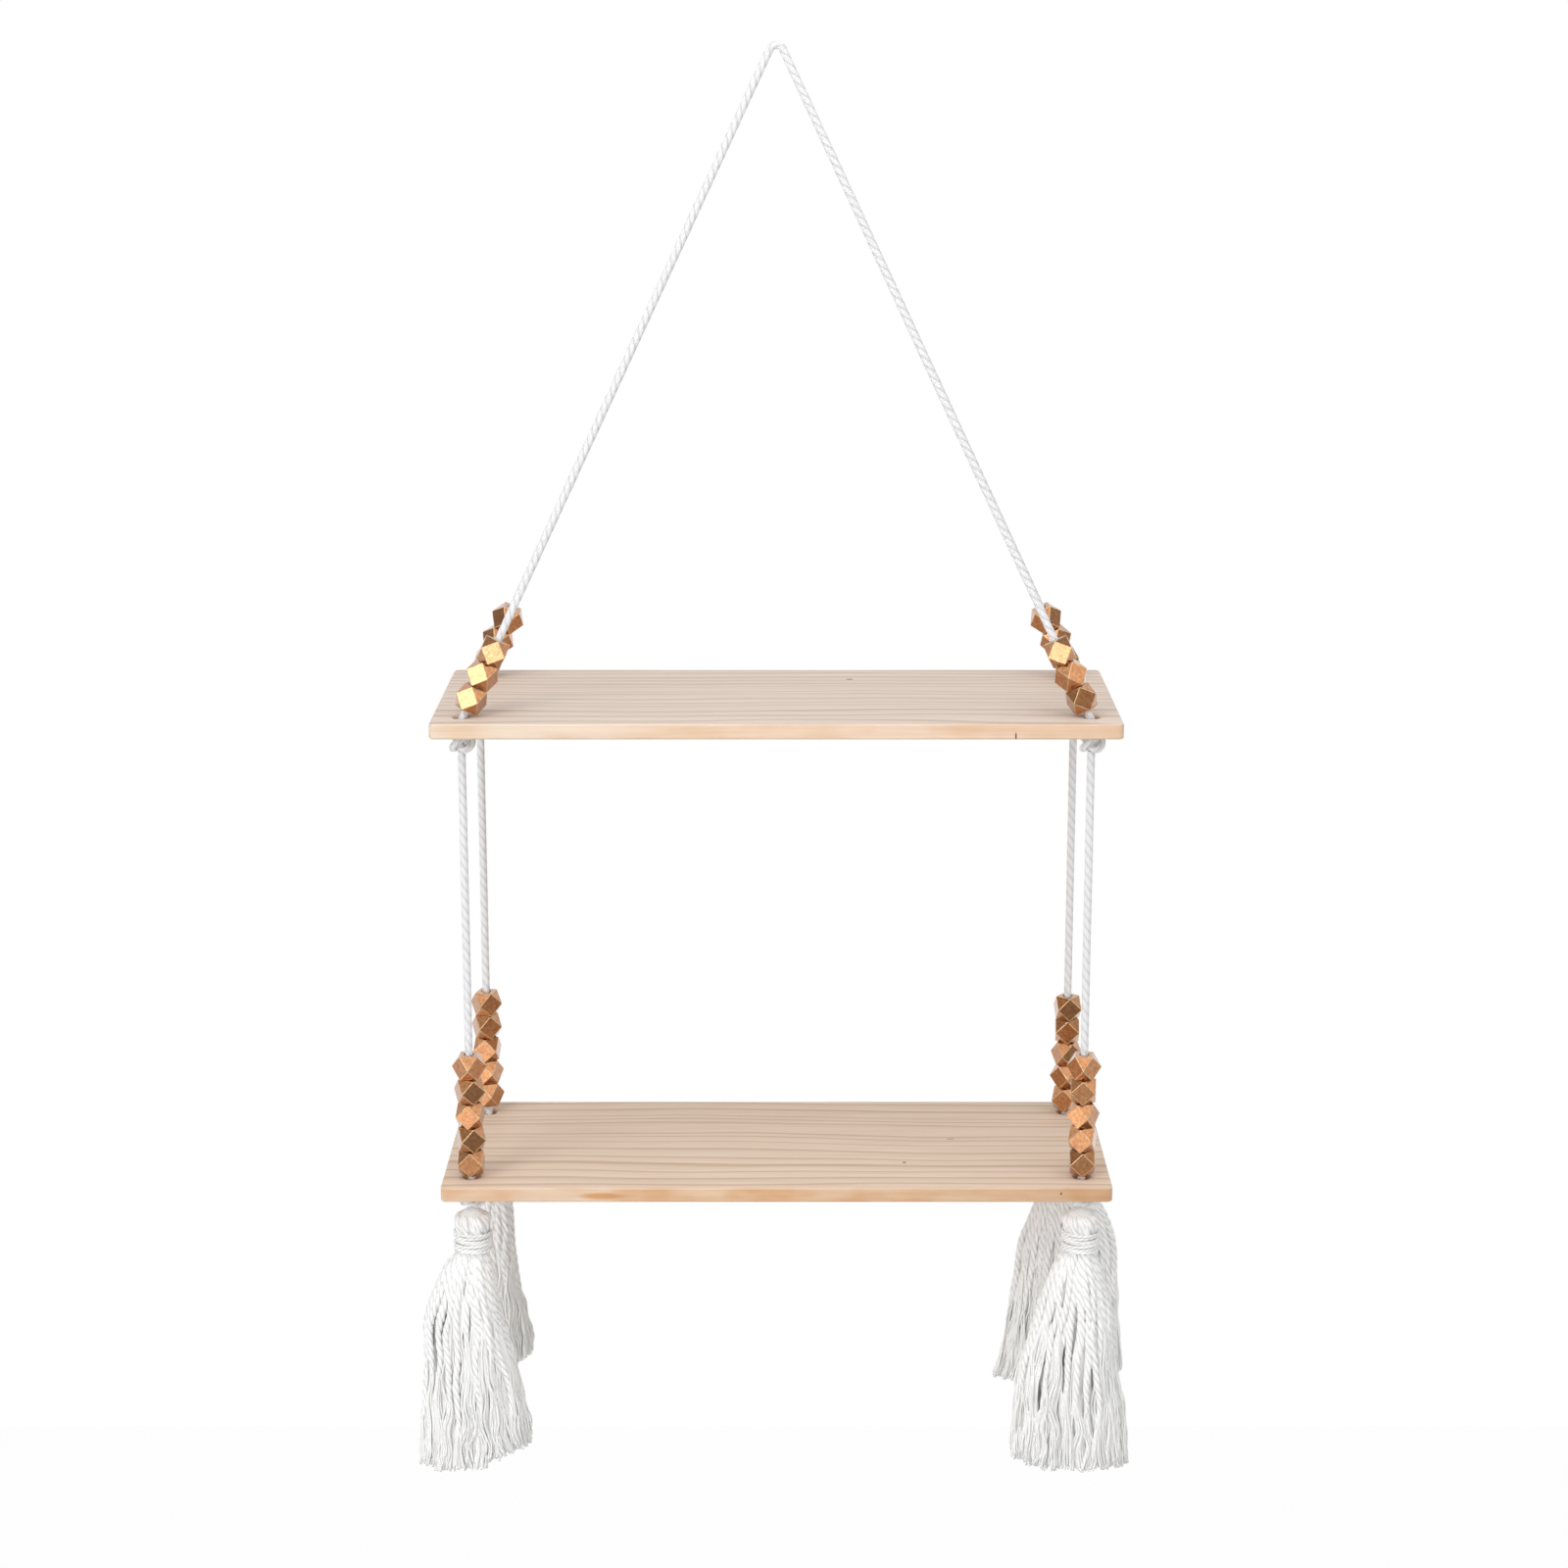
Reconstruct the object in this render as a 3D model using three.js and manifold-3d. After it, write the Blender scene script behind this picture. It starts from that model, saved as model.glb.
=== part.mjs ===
// A two-tier hanging shelf: pine boards on knotted cotton cords, faceted
// wooden beads threaded above each board and a bound tassel on every cord end.
//
// Millimetres, +Z up, +X along the boards, -Y to the front.
// The origin is the point where the two cords hang over their nail.

import * as THREE from "three";
import { ConvexGeometry } from "three/addons/geometries/ConvexGeometry.js";
import { mergeVertices } from "three/addons/utils/BufferGeometryUtils.js";
import Module from "manifold-3d";

const wasm = await Module();
wasm.setup();

// Boards
const board_length = 400;
const board_depth = 150;
const board_thickness = 9;
const board_corner_radius = 3;
const board_edge_softening = 0.8;
const board_corner_steps = 3;
const upper_board_drop = 378;
const board_spacing = 283;

// Cord holes, one near each corner of a board
const hole_diameter = 10;
const hole_end_inset = 17;
const hole_side_inset = 19;
const hole_sides = 16;

// Cords
const cord_diameter = 4.5;
const cord_sides = 8;
const nail_diameter = 4;
const cord_pair_gap = 0.3;
const cord_bend_depth = 2.5;
const cord_bend_reach = 2.5;
const cord_bend_steps = 4;
const cord_arc_steps = 10;

// Overhand knots, each drawn tight into three interlocked lobes
const knot_cord_diameter = 3.5;
const knot_radius = 4.4;
const knot_lobe_reach = 2;
const upper_knot_lobe_rise = 3.8;
const stop_knot_lobe_rise = 2.6;
const knot_rounds = 2;
const knot_lobes = 3;
const knot_steps = 30;
const knot_sides = 6;
const measuring_fineness = 4;

// Beads: cuboctahedra, bored from one square face to the opposite one
const bead_height = 14.8;
const bead_bore_diameter = 6;
const bead_bore_sides = 8;
const bead_face_share = 0.88;
const bead_gap = 0.3;

// How high the lowest bead stands over its board: the cord holds each one a
// little off the wood, which leaves room for the lower tier's sway
const upper_bead_stand_gap = 0.5;
const lower_bead_stand_gaps = {
  front_left: 2.1,
  front_right: 2.1,
  rear_left: 5.2,
  rear_right: 2.1,
};

// Tassels, listed by the corner that each hangs from
const tassel_length = 159;
const tassel_stub_diameter = 4;
const tassel_stub_length = 2.2;
const tassel_head_height = 12;
const tassel_head_diameter = 25;
const tassel_neck_diameter = 20;
const tassel_neck_height = 16;
const tassel_folds = 12;
const tassel_points_per_fold = 4;
const tassel_ragged_drop = 4;
const tassel_ragged_waves = 5;
const tassel_ragged_beats = 2;
const tassel_fringe_hollow = 6;
const skirt_widths = {
  front_left: 66,
  front_right: 74,
  rear_left: 62,
  rear_right: 84,
};
const front_skirt_depth = 50;

// The tassel's outline: how far down its head or skirt a level lies, how far
// it reaches there, and how deep its folds are cut
const tassel_head_shares = [
  { length: 0.25, reach: 0.5, fold: 0.05 },
  { length: 0.5, reach: 0.9, fold: 0.06 },
  { length: 0.8, reach: 1, fold: 0.06 },
];
const tassel_skirt_shares = [
  { length: 0.12, reach: 0.3, fold: 0.06 },
  { length: 0.5, reach: 0.72, fold: 0.08 },
  { length: 1, reach: 1, fold: 0.1 },
];

// Bindings wound round the tassel necks
const wrap_cord_diameter = 1.7;
const wrap_pitch = 2.15;
const wrap_turns = 6;
const wrap_steps_per_turn = 12;
const wrap_sides = 5;

// Clearances
const touch_gap = 0.3;
const cord_seat_gap = 0.5;
const cut_overrun = 1;

const corners = [
  { name: "front_left", across: -1, back: -1 },
  { name: "front_right", across: 1, back: -1 },
  { name: "rear_left", across: -1, back: 1 },
  { name: "rear_right", across: 1, back: 1 },
];

// The beads of each stack from the lowest one up, by how far each is turned on
// its cord, in quarter turns
const upper_bead_turn_shares = {
  front_left: [-0.2, -0.25, 0.05],
  front_right: [0.15, 0.37, -0.03],
  rear_left: [0.1, 0.45, 0.5],
  rear_right: [0.1, 0.4, -0.44],
};
const lower_bead_turn_shares = {
  front_left: [-0.06, 0.22, -0.08, 0.27, 0.5],
  front_right: [-0.02, -0.18, -0.38, -0.08, 0.42],
  rear_left: [-0.33, -0.28, -0.09, 0.27, 0.33],
  rear_right: [-0.15, 0.5, 0.28, -0.03, 0.08],
};

// Heights that follow from the sizes above
const upper_board_top = -upper_board_drop;
const upper_board_underside = upper_board_top - board_thickness;
const lower_board_top = upper_board_top - board_spacing;
const lower_board_underside = lower_board_top - board_thickness;
const upper_knot_height = 2 * upper_knot_lobe_rise + knot_cord_diameter;
const stop_knot_height = 2 * stop_knot_lobe_rise + knot_cord_diameter;
const upper_knot_middle = upper_board_underside - touch_gap - upper_knot_height / 2;
const stop_knot_middle = lower_board_underside - touch_gap - stop_knot_height / 2;
const hole_x = board_length / 2 - hole_end_inset;
const hole_y = board_depth / 2 - hole_side_inset;
const bead_pitch = bead_height + bead_gap;

const pine = new THREE.MeshStandardMaterial({ color: 0xdcc3a2, roughness: 0.7 });
const cotton = new THREE.MeshStandardMaterial({ color: 0xeeebe4, roughness: 0.95 });
const copper_paint = new THREE.MeshStandardMaterial({
  color: 0xb87d4b,
  roughness: 0.42,
  metalness: 0.6,
});

const shelf = new THREE.Group();

// How far from a knot's middle the end of a cord sits, down in the dimple
// between the lobes and the seat gap away from them all round.
function knot_seat(lobe_rise, end_diameter) {
  const clear = knot_cord_diameter / 2 + cord_seat_gap;
  const { points } = knot_route(lobe_rise, measuring_fineness * knot_steps);
  const heights = points.map((point) => {
    const aside = Math.max(Math.hypot(point.x, point.y) - end_diameter / 2, 0);
    return aside < clear ? point.z + Math.sqrt(clear * clear - aside * aside) : 0;
  });
  return Math.max(...heights);
}

function add_piece(name, geometry, material, parent) {
  const piece = new THREE.Mesh(geometry, material);
  piece.name = name;
  parent.add(piece);
  return piece;
}

// Joins rings of points, each with as many points in the same order, into one
// closed skin. The points run anticlockwise as seen from the last ring's side.
function skin_geometry(rings, is_loop) {
  const sides = rings[0].length;
  const points = rings.flat();
  const faces = [];
  const band_count = is_loop ? rings.length : rings.length - 1;
  for (let band = 0; band < band_count; band += 1) {
    const here = band * sides;
    const next = ((band + 1) % rings.length) * sides;
    for (let j = 0; j < sides; j += 1) {
      const k = (j + 1) % sides;
      faces.push(here + j, here + k, next + k);
      faces.push(here + j, next + k, next + j);
    }
  }
  if (!is_loop) {
    add_end_cap(points, faces, rings[0], 0, true);
    add_end_cap(points, faces, rings.at(-1), (rings.length - 1) * sides, false);
  }
  const geometry = new THREE.BufferGeometry().setFromPoints(points);
  geometry.setIndex(faces);
  geometry.computeVertexNormals();
  return geometry;
}

// Closes one end of a skin with a fan about the middle of its ring.
function add_end_cap(points, faces, ring, first, is_start) {
  const middle = new THREE.Vector3();
  ring.forEach((point) => middle.add(point));
  points.push(middle.divideScalar(ring.length));
  const centre = points.length - 1;
  for (let j = 0; j < ring.length; j += 1) {
    const k = (j + 1) % ring.length;
    const edge = is_start ? [first + k, first + j] : [first + j, first + k];
    faces.push(centre, ...edge);
  }
}

// The direction of the path at one of its points, halfway between its two stretches.
function path_direction(points, i, is_loop) {
  const count = points.length;
  const before = is_loop ? (i + count - 1) % count : Math.max(i - 1, 0);
  const after = is_loop ? (i + 1) % count : Math.min(i + 1, count - 1);
  const arriving = points[i].clone().sub(points[before]).normalize();
  const leaving = points[after].clone().sub(points[i]).normalize();
  return arriving.add(leaving).normalize();
}

// Carries a round section along the points. The outward direction given for
// each point keeps the section from twisting.
function tube_geometry(points, outward_directions, diameter, sides, is_loop) {
  const rings = points.map((point, i) => {
    const along = path_direction(points, i, is_loop);
    const level = along.clone().cross(outward_directions[i]).normalize();
    const outward = level.clone().cross(along);
    return Array.from({ length: sides }, (_, j) => {
      const angle = (2 * Math.PI * j) / sides;
      return point
        .clone()
        .addScaledVector(outward, (Math.cos(angle) * diameter) / 2)
        .addScaledVector(level, (Math.sin(angle) * diameter) / 2);
    });
  });
  return skin_geometry(rings, is_loop);
}

// Least distance between the surfaces of a tube's own stretches, leaving out
// points nearer along the path than the given length.
function least_self_gap(points, diameter, skipped_length, is_loop) {
  const travelled = [0];
  for (let i = 1; i < points.length; i += 1) {
    travelled.push(travelled[i - 1] + points[i].distanceTo(points[i - 1]));
  }
  const total = travelled.at(-1) + (is_loop ? points[0].distanceTo(points.at(-1)) : 0);
  let least = Infinity;
  for (let i = 0; i < points.length; i += 1) {
    for (let j = i + 1; j < points.length; j += 1) {
      const apart = travelled[j] - travelled[i];
      const along = is_loop ? Math.min(apart, total - apart) : apart;
      if (along > skipped_length) {
        least = Math.min(least, points[i].distanceTo(points[j]) - diameter);
      }
    }
  }
  return least;
}

function report_self_gap(name, points, diameter, skipped_length, is_loop) {
  const gap = least_self_gap(points, diameter, skipped_length, is_loop);
  console.log(`${name}: least gap to itself ${gap.toFixed(2)} mm`);
}

// A closed geometry as a solid that can be joined or cut.
function solid_of(geometry) {
  const bare = geometry.clone();
  bare.deleteAttribute("normal");
  bare.deleteAttribute("uv");
  const merged = mergeVertices(bare);
  return new wasm.Manifold(
    new wasm.Mesh({
      numProp: 3,
      vertProperties: merged.attributes.position.array,
      triVerts: new Uint32Array(merged.index.array),
    }),
  );
}

function geometry_of(solid) {
  const mesh = solid.getMesh();
  const geometry = new THREE.BufferGeometry();
  geometry.setAttribute("position", new THREE.BufferAttribute(mesh.vertProperties, 3));
  geometry.setIndex(new THREE.BufferAttribute(mesh.triVerts, 1));
  geometry.computeVertexNormals();
  return geometry;
}

// The board's outline, anticlockwise, with a small round at each corner.
function board_outline() {
  const points = [];
  const turns = [
    [1, 1],
    [-1, 1],
    [-1, -1],
    [1, -1],
  ];
  turns.forEach(([across, back], quarter) => {
    const middle_x = across * (board_length / 2 - board_corner_radius);
    const middle_y = back * (board_depth / 2 - board_corner_radius);
    for (let step = 0; step <= board_corner_steps; step += 1) {
      const angle = (Math.PI / 2) * (quarter + step / board_corner_steps);
      points.push(
        new THREE.Vector2(
          middle_x + board_corner_radius * Math.cos(angle),
          middle_y + board_corner_radius * Math.sin(angle),
        ),
      );
    }
  });
  return points;
}

function hole_outline(corner) {
  const points = [];
  for (let step = 0; step < hole_sides; step += 1) {
    const angle = (-2 * Math.PI * step) / hole_sides;
    points.push(
      new THREE.Vector2(
        corner.across * hole_x + (hole_diameter / 2) * Math.cos(angle),
        corner.back * hole_y + (hole_diameter / 2) * Math.sin(angle),
      ),
    );
  }
  return points;
}

// A pine board with its four cord holes, every edge softened.
function board_geometry() {
  const outline = new THREE.Shape(board_outline());
  corners.forEach((corner) => {
    outline.holes.push(new THREE.Path(hole_outline(corner)));
  });
  return new THREE.ExtrudeGeometry(outline, {
    depth: board_thickness - 2 * board_edge_softening,
    bevelThickness: board_edge_softening,
    bevelSize: board_edge_softening,
    bevelOffset: -board_edge_softening,
    bevelSegments: 1,
    curveSegments: 1,
    steps: 1,
  });
}

function add_board(name, top) {
  const board = add_piece(name, board_geometry(), pine, shelf);
  board.position.z = top - board_thickness + board_edge_softening;
}

// One side of an upper cord: the bend over the nail, which lies square to the
// boards, and the straight leg from a board hole up to that bend.
function upper_cord_leg(corner) {
  const lane = (corner.back * (cord_diameter + cord_pair_gap)) / 2;
  const nail = new THREE.Vector3(0, lane, -nail_diameter / 2);
  const foot = new THREE.Vector3(
    corner.across * hole_x,
    corner.back * hole_y,
    upper_board_top - cord_bend_depth,
  );
  const bend_radius = (nail_diameter + cord_diameter) / 2;
  const rise = nail.z - foot.z;
  const reach = Math.hypot(hole_x, rise);
  const lean = Math.acos(bend_radius / reach) - Math.atan2(rise, hole_x);
  const on_bend = (angle) =>
    new THREE.Vector3(
      nail.x + corner.across * bend_radius * Math.cos(angle),
      nail.y,
      nail.z + bend_radius * Math.sin(angle),
    );
  const direction = on_bend(lean).sub(foot).normalize();
  return { foot, lean, on_bend, direction };
}

// The way of an upper cord on one side: up out of the hole and along the leg,
// then over the nail as far as its top.
function upper_cord_half_route(corner) {
  const leg = upper_cord_leg(corner);
  const end = leg.foot.clone();
  end.z = upper_knot_middle + knot_seat(upper_knot_lobe_rise, cord_diameter);
  const before_bend = leg.foot.clone();
  before_bend.z -= cord_bend_reach;
  const after_bend = leg.foot.clone().addScaledVector(leg.direction, cord_bend_reach);
  const bend = new THREE.QuadraticBezierCurve3(before_bend, leg.foot, after_bend);
  const route = [end, ...bend.getPoints(cord_bend_steps)];
  const half_arc = Math.PI / 2 - leg.lean;
  for (let step = 0; step <= cord_arc_steps / 2; step += 1) {
    route.push(leg.on_bend(leg.lean + (half_arc * step) / (cord_arc_steps / 2)));
  }
  return route;
}

// One cord from the left hole over the nail to the right hole.
function add_upper_cord(name, left, right) {
  const left_half = upper_cord_half_route(left);
  const right_half = upper_cord_half_route(right);
  const route = [...left_half, ...right_half.reverse().slice(1)];
  const forward = new THREE.Vector3(0, 1, 0);
  const outward = route.map(() => forward);
  add_piece(name, tube_geometry(route, outward, cord_diameter, cord_sides, false), cotton, shelf);
}

// The middle line of a tight knot: it goes twice round the cord's axis while it
// rises and falls three times, so that each lobe holds the next one down.
function knot_route(lobe_rise, steps) {
  const points = [];
  const outward = [];
  for (let step = 0; step < steps; step += 1) {
    const turn = (2 * Math.PI * step) / steps;
    const round = knot_rounds * turn;
    const lobe = knot_lobes * turn;
    const radius = knot_radius + knot_lobe_reach * Math.cos(lobe);
    points.push(
      new THREE.Vector3(
        radius * Math.cos(round),
        radius * Math.sin(round),
        lobe_rise * Math.sin(lobe),
      ),
    );
    outward.push(
      new THREE.Vector3(
        Math.cos(lobe) * Math.cos(round),
        Math.cos(lobe) * Math.sin(round),
        Math.sin(lobe),
      ),
    );
  }
  return { points, outward };
}

function knot_geometry(lobe_rise) {
  const { points, outward } = knot_route(lobe_rise, knot_steps);
  return tube_geometry(points, outward, knot_cord_diameter, knot_sides, true);
}

function report_knot_gap(name, lobe_rise) {
  const { points } = knot_route(lobe_rise, measuring_fineness * knot_steps);
  report_self_gap(name, points, knot_cord_diameter, 2 * knot_cord_diameter, true);
}

function add_knot(name, corner, lobe_rise, middle) {
  const knot = add_piece(name, knot_geometry(lobe_rise), cotton, shelf);
  knot.position.set(corner.across * hole_x, corner.back * hole_y, middle);
}

// The corners of every face of a cuboctahedron of half height 1, each face
// drawn in towards its middle to leave room for the softened edges.
function bead_face_corners() {
  const signs = [-1, 1];
  const faces = [];
  for (let axis = 0; axis < 3; axis += 1) {
    signs.forEach((sign) => {
      const square = signs.flatMap((other) =>
        [1, 2].map((step) => {
          const corner = new THREE.Vector3();
          corner.setComponent(axis, sign);
          corner.setComponent((axis + step) % 3, other);
          return corner;
        }),
      );
      faces.push(square);
    });
  }
  signs.forEach((x) =>
    signs.forEach((y) =>
      signs.forEach((z) =>
        faces.push([
          new THREE.Vector3(x, y, 0),
          new THREE.Vector3(x, 0, z),
          new THREE.Vector3(0, y, z),
        ]),
      ),
    ),
  );
  return faces.flatMap((face) => {
    const middle = new THREE.Vector3();
    face.forEach((corner) => middle.add(corner));
    middle.divideScalar(face.length);
    return face.map((corner) => corner.sub(middle).multiplyScalar(bead_face_share).add(middle));
  });
}

// A faceted bead standing on its bored axis, middle at the origin.
function bead_geometry() {
  const points = bead_face_corners();
  points.forEach((point) => point.multiplyScalar(bead_height / 2));
  const bore = new THREE.CylinderGeometry(
    bead_bore_diameter / 2,
    bead_bore_diameter / 2,
    bead_height + 2 * cut_overrun,
    bead_bore_sides,
  );
  bore.rotateX(Math.PI / 2);
  return geometry_of(solid_of(new ConvexGeometry(points)).subtract(solid_of(bore)));
}

const bead = bead_geometry();

// Threads beads up a straight stretch of cord, the first one's lower face at
// the given point, each turned by its own share of a quarter turn.
function add_bead_stack(name, lowest, direction, turn_shares) {
  const stack = new THREE.Group();
  stack.position.copy(lowest);
  stack.quaternion.setFromUnitVectors(new THREE.Vector3(0, 0, 1), direction);
  turn_shares.forEach((turn_share, i) => {
    const piece = add_piece(`${name}_${i + 1}`, bead, copper_paint, stack);
    piece.position.z = bead_height / 2 + i * bead_pitch;
    piece.rotation.z = (Math.PI / 2) * turn_share;
  });
  shelf.add(stack);
}

// The slanted beads come nearest to the board by one corner of their lowest
// square face.
function add_upper_beads(corner) {
  const leg = upper_cord_leg(corner);
  const slant = Math.acos(leg.direction.z);
  const face_corner_reach = bead_height / 2;
  const lift = face_corner_reach * Math.sin(slant) + upper_bead_stand_gap + cord_bend_depth;
  const lowest = leg.foot.clone().addScaledVector(leg.direction, lift / Math.cos(slant));
  add_bead_stack(
    `upper_bead_${corner.name}`,
    lowest,
    leg.direction,
    upper_bead_turn_shares[corner.name],
  );
}

function add_lower_beads(corner) {
  const lowest = new THREE.Vector3(
    corner.across * hole_x,
    corner.back * hole_y,
    lower_board_top + lower_bead_stand_gaps[corner.name],
  );
  add_bead_stack(
    `lower_bead_${corner.name}`,
    lowest,
    new THREE.Vector3(0, 0, 1),
    lower_bead_turn_shares[corner.name],
  );
}

// The straight stretch from the knot under the upper board to the stop knot
// under the lower one, through the lower board's hole.
function add_lower_cord(corner) {
  const top = upper_knot_middle - knot_seat(upper_knot_lobe_rise, cord_diameter);
  const bottom = stop_knot_middle + knot_seat(stop_knot_lobe_rise, cord_diameter);
  const geometry = new THREE.CylinderGeometry(
    cord_diameter / 2,
    cord_diameter / 2,
    top - bottom,
    cord_sides,
  );
  geometry.rotateX(Math.PI / 2);
  const cord = add_piece(`lower_cord_${corner.name}`, geometry, cotton, shelf);
  cord.position.set(corner.across * hole_x, corner.back * hole_y, (top + bottom) / 2);
}

// The tassel's outline from the cord stub down: how far below the top, how far
// it reaches to the side and to the front, and how deep its folds are cut.
function tassel_profile(skirt_width, skirt_depth) {
  const stub = tassel_stub_diameter / 2;
  const head = tassel_head_diameter / 2;
  const neck = tassel_neck_diameter / 2;
  const neck_top = tassel_stub_length + tassel_head_height;
  const neck_bottom = neck_top + tassel_neck_height;
  const skirt_length = tassel_length - neck_bottom;
  const level = (depth, side_reach, front_reach, fold_share) => ({
    depth,
    side_reach,
    front_reach,
    fold_share,
  });
  const head_levels = tassel_head_shares.map((share) =>
    level(
      tassel_stub_length + share.length * tassel_head_height,
      share.reach * head,
      share.reach * head,
      share.fold,
    ),
  );
  const skirt_levels = tassel_skirt_shares.map((share) =>
    level(
      neck_bottom + share.length * skirt_length,
      neck + share.reach * (skirt_width / 2 - neck),
      neck + share.reach * (skirt_depth / 2 - neck),
      share.fold,
    ),
  );
  return [
    level(0, stub, stub, 0),
    level(tassel_stub_length, stub, stub, 0),
    ...head_levels,
    level(neck_top, neck, neck, 0),
    level(neck_bottom, neck, neck, 0),
    ...skirt_levels,
  ];
}

// A tassel as one body: cords folded over into a head, drawn in at the neck and
// falling in folds to a ragged end.
function tassel_geometry(skirt_width, skirt_depth) {
  const count = tassel_folds * tassel_points_per_fold;
  const profile = tassel_profile(skirt_width, skirt_depth).reverse();
  const rings = profile.map((row, level) =>
    Array.from({ length: count }, (_, j) => {
      const angle = (2 * Math.PI * j) / count;
      const fold = 1 - row.fold_share * (1 - Math.cos(tassel_folds * angle));
      const wave = Math.sin(tassel_ragged_waves * angle) * Math.cos(tassel_ragged_beats * angle);
      const ragged = level === 0 ? tassel_ragged_drop * wave : 0;
      return new THREE.Vector3(
        row.side_reach * fold * Math.cos(angle),
        row.front_reach * fold * Math.sin(angle),
        ragged - row.depth,
      );
    }),
  );
  const geometry = skin_geometry(rings, false);
  raise_fringe_middle(geometry, rings);
  return geometry;
}

// The strand ends in the middle of the fringe stop short of the outer ones.
function raise_fringe_middle(geometry, rings) {
  const middle = rings.length * rings[0].length;
  const position = geometry.getAttribute("position");
  position.setZ(middle, position.getZ(middle) + tassel_fringe_hollow);
  geometry.computeVertexNormals();
}

// The rear tassels hang against the wall, flat behind with the boards' back edges.
function add_tassel(corner) {
  const top = stop_knot_middle - knot_seat(stop_knot_lobe_rise, tassel_stub_diameter);
  const wall_side_depth = 2 * hole_side_inset;
  const skirt_depth = corner.back > 0 ? wall_side_depth : front_skirt_depth;
  const geometry = tassel_geometry(skirt_widths[corner.name], skirt_depth);
  const tassel = add_piece(`tassel_${corner.name}`, geometry, cotton, shelf);
  tassel.position.set(corner.across * hole_x, corner.back * hole_y, top);
}

// The middle line of the binding, wound in one run down the tassel's neck.
function wrap_route(steps_per_turn) {
  const sag_share = Math.cos(Math.PI / wrap_steps_per_turn);
  const bare_radius = (tassel_neck_diameter + wrap_cord_diameter) / 2 + touch_gap;
  const radius = bare_radius / sag_share;
  const steps = wrap_turns * steps_per_turn;
  const points = [];
  const outward = [];
  for (let step = 0; step <= steps; step += 1) {
    const turns = step / steps_per_turn;
    const angle = 2 * Math.PI * turns;
    const away = new THREE.Vector3(Math.cos(angle), Math.sin(angle), 0);
    outward.push(away);
    points.push(away.clone().multiplyScalar(radius).setZ(-wrap_pitch * turns));
  }
  return { points, outward };
}

function report_wrap_gap(name) {
  const { points } = wrap_route(measuring_fineness * wrap_steps_per_turn);
  report_self_gap(name, points, wrap_cord_diameter, tassel_neck_diameter, false);
}

function add_tassel_wrap(corner) {
  const { points, outward } = wrap_route(wrap_steps_per_turn);
  const geometry = tube_geometry(points, outward, wrap_cord_diameter, wrap_sides, false);
  const top = stop_knot_middle - knot_seat(stop_knot_lobe_rise, tassel_stub_diameter);
  const neck_top = top - tassel_stub_length - tassel_head_height;
  const spare = tassel_neck_height - wrap_turns * wrap_pitch;
  const wrap = add_piece(`tassel_wrap_${corner.name}`, geometry, cotton, shelf);
  wrap.position.set(corner.across * hole_x, corner.back * hole_y, neck_top - spare / 2);
}

add_board("upper_board", upper_board_top);
add_board("lower_board", lower_board_top);
add_upper_cord("front_cord", corners[0], corners[1]);
add_upper_cord("rear_cord", corners[2], corners[3]);
corners.forEach((corner) => {
  add_knot(`knot_${corner.name}`, corner, upper_knot_lobe_rise, upper_knot_middle);
  add_knot(`stop_knot_${corner.name}`, corner, stop_knot_lobe_rise, stop_knot_middle);
  add_lower_cord(corner);
  add_upper_beads(corner);
  add_lower_beads(corner);
  add_tassel(corner);
  add_tassel_wrap(corner);
});

report_knot_gap("knot", upper_knot_lobe_rise);
report_knot_gap("stop knot", stop_knot_lobe_rise);
report_wrap_gap("tassel wrap");

export default shelf;
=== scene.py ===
import math

import bpy
import numpy as np
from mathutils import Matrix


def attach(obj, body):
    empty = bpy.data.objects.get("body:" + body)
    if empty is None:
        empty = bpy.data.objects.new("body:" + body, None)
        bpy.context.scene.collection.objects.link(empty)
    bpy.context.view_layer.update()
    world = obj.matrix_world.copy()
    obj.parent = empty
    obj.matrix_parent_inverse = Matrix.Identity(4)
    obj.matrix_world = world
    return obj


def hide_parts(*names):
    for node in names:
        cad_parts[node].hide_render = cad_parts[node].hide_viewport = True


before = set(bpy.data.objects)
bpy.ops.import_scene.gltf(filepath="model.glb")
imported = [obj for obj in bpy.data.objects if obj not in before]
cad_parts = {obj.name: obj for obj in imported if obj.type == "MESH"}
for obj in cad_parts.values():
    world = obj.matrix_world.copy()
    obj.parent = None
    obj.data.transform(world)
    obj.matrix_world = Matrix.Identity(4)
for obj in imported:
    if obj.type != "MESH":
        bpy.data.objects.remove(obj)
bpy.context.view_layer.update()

# The camera stands in front of the shelf at the height of the nail, turned down
# towards the space between the two boards.
camera_place = (0.0044, -1.8306, 0.0305)
camera_tilt = 13.04
camera_data = bpy.data.cameras.new("camera")
camera_data.sensor_width = 36.0
camera_data.lens = 72.09
camera_data.shift_y = -0.04
camera = bpy.data.objects.new("camera", camera_data)
camera.location = camera_place
camera.rotation_euler = (math.radians(90.0 - camera_tilt), 0.0, 0.0)
bpy.context.scene.collection.objects.link(camera)
bpy.context.scene.camera = camera

# The cords over the nail: two lengths of soft white cotton cord, three plies laid
# to the left, hung over the nail side by side and led down through the upper
# board's holes at either end.

# Sizes are in millimetres from here on. The scene is in metres, and a pattern's scale
# is how often its size goes into one.
mm = 0.001
metre = 1000.0
hole_x = 183.0
hole_y = 56.0
cord_skin = 4.7
cord_lay = 19.0
cord_ply_place = 0.07
route_step = 0.9
cord_end_level = -387.588
cord_foot_level = -380.5
cord_bend = 2.5
nail_lane = 2.4
nail_level = -2.0
nail_bend_radius = 4.25
CORNERS = {
    "front_left": (-1, -1),
    "front_right": (1, -1),
    "rear_left": (-1, 1),
    "rear_right": (1, 1),
}


def unit(vectors):
    """Each vector of an array divided by its own length."""
    return vectors / np.linalg.norm(vectors, axis=-1, keepdims=True)


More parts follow.
